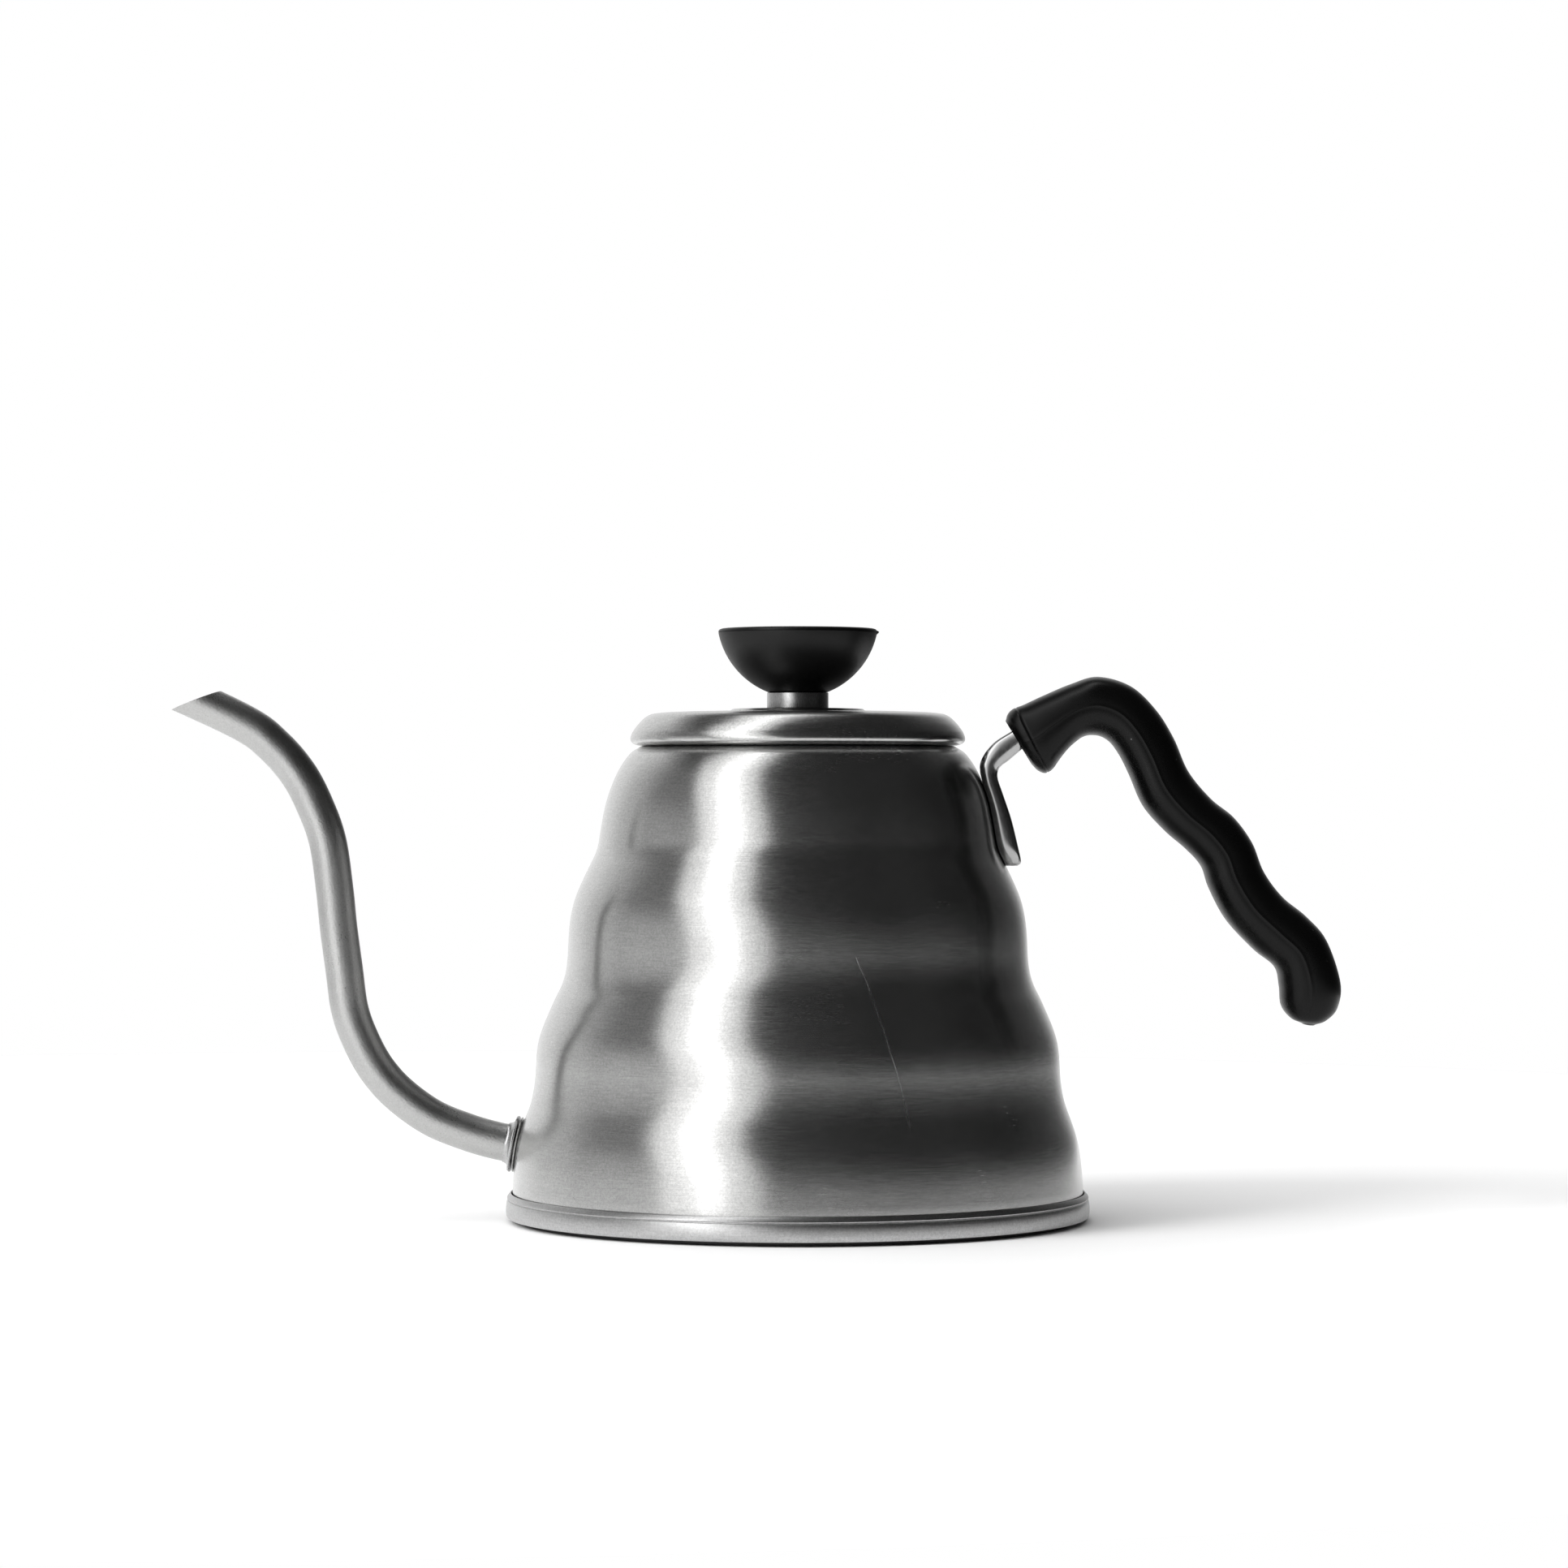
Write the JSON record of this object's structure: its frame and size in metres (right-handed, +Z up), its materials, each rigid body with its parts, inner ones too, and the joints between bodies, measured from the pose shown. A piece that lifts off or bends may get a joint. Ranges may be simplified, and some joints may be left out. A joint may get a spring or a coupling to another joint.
{
  "type": "gooseneck kettle",
  "caption": "Stove-top pour-over kettle: swelled steel body, slender bent spout, cantilevered moulded grip, and a lift-off lid with a round knob.",
  "frame": {"origin": "on the floor, under the centre of the round body", "axes": "+Z up, -X towards the spout, +X towards the handle"},
  "size_m": [0.2892, 0.144, 0.146],
  "materials": {
    "brushed_body": "fine lines round the body",
    "brushed_lid": "fine lines round the lid",
    "satin_base": "satin",
    "satin_spout": "satin with a mottled grain",
    "collar_steel": "satin with lines along the axis",
    "polished_steel": "polished",
    "plain_steel": "plain",
    "foot_disc": "matt",
    "brass_insert": "plain",
    "black_grip": "satin moulded",
    "black_knob": "satin moulded"
  },
  "bodies": {
    "kettle": {"body_shell": "brushed_body", "base_pan": "satin_base", "base_disc": "foot_disc", "spout_tube": "satin_spout", "spout_collar": "polished_steel", "handle_bracket": "polished_steel", "handle_grip": "black_grip", "grip_screw": "plain_steel", "grip_washer": "plain_steel", "grip_nut": "plain_steel"},
    "lid": {"lid_cover": "brushed_lid", "lid_skirt": "satin_base", "knob_collar": "collar_steel", "knob": "black_knob", "knob_insert": "brass_insert", "knob_screw": "plain_steel", "knob_washer": "plain_steel"}
  },
  "joints": [
    {"name": "lid_lift", "type": "slide", "parent": "kettle", "child": "lid", "axis": [0, 0, 1], "range_m": [0, 0.06]}
  ]
}
